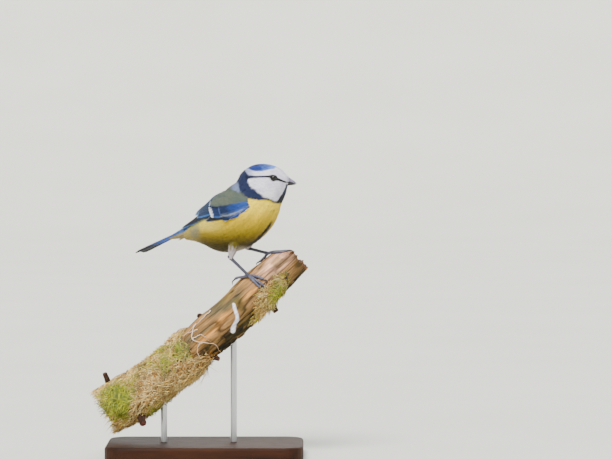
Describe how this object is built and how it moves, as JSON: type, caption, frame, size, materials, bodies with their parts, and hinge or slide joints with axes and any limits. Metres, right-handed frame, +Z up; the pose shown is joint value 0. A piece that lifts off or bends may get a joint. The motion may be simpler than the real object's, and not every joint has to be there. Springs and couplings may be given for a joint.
{
  "type": "blue tit on a perch",
  "caption": "Life-size blue tit gripping the broken end of a mossy branch, held still on a plain wooden display base with short steel rods.",
  "frame": {"origin": "middle of the display base's underside, on the surface it rests on", "axes": "+Z up; +X the way the bill points, up the branch towards its broken end; +Y to the bird's left, away from the viewer of the picture"},
  "size_m": [0.1333, 0.078, 0.1849],
  "materials": {
    "yellow_feather": "soft matte plumage",
    "head_feather": "soft matte plumage",
    "collar_feather": "soft matte plumage",
    "wing_feather": "satin plumage",
    "tail_feather": "satin plumage",
    "leg_skin": "satin scales",
    "bill_horn": "polished horn",
    "eye_gloss": "wet gloss",
    "bark": "rough weathered bark",
    "moss": "dry matte moss",
    "stand_wood": "dark satin varnish",
    "stand_steel": "brushed"
  },
  "bodies": {
    "root": {"torso": "yellow_feather", "neck": "collar_feather", "head": "head_feather", "wing_right": "wing_feather", "wing_left": "wing_feather", "tail": "tail_feather", "thigh_right": "yellow_feather", "thigh_left": "yellow_feather", "leg_right": "leg_skin", "leg_left": "leg_skin", "foot_right": "leg_skin", "foot_left": "leg_skin", "bill_upper": "bill_horn", "bill_lower": "bill_horn", "eye_right": "eye_gloss", "eye_left": "eye_gloss", "perch_wood": "bark", "perch_moss_sleeve": "moss", "perch_moss_tuft": "moss", "stand_base": "stand_wood", "stand_rod_low": "stand_steel", "stand_rod_high": "stand_steel"}
  },
  "joints": []
}
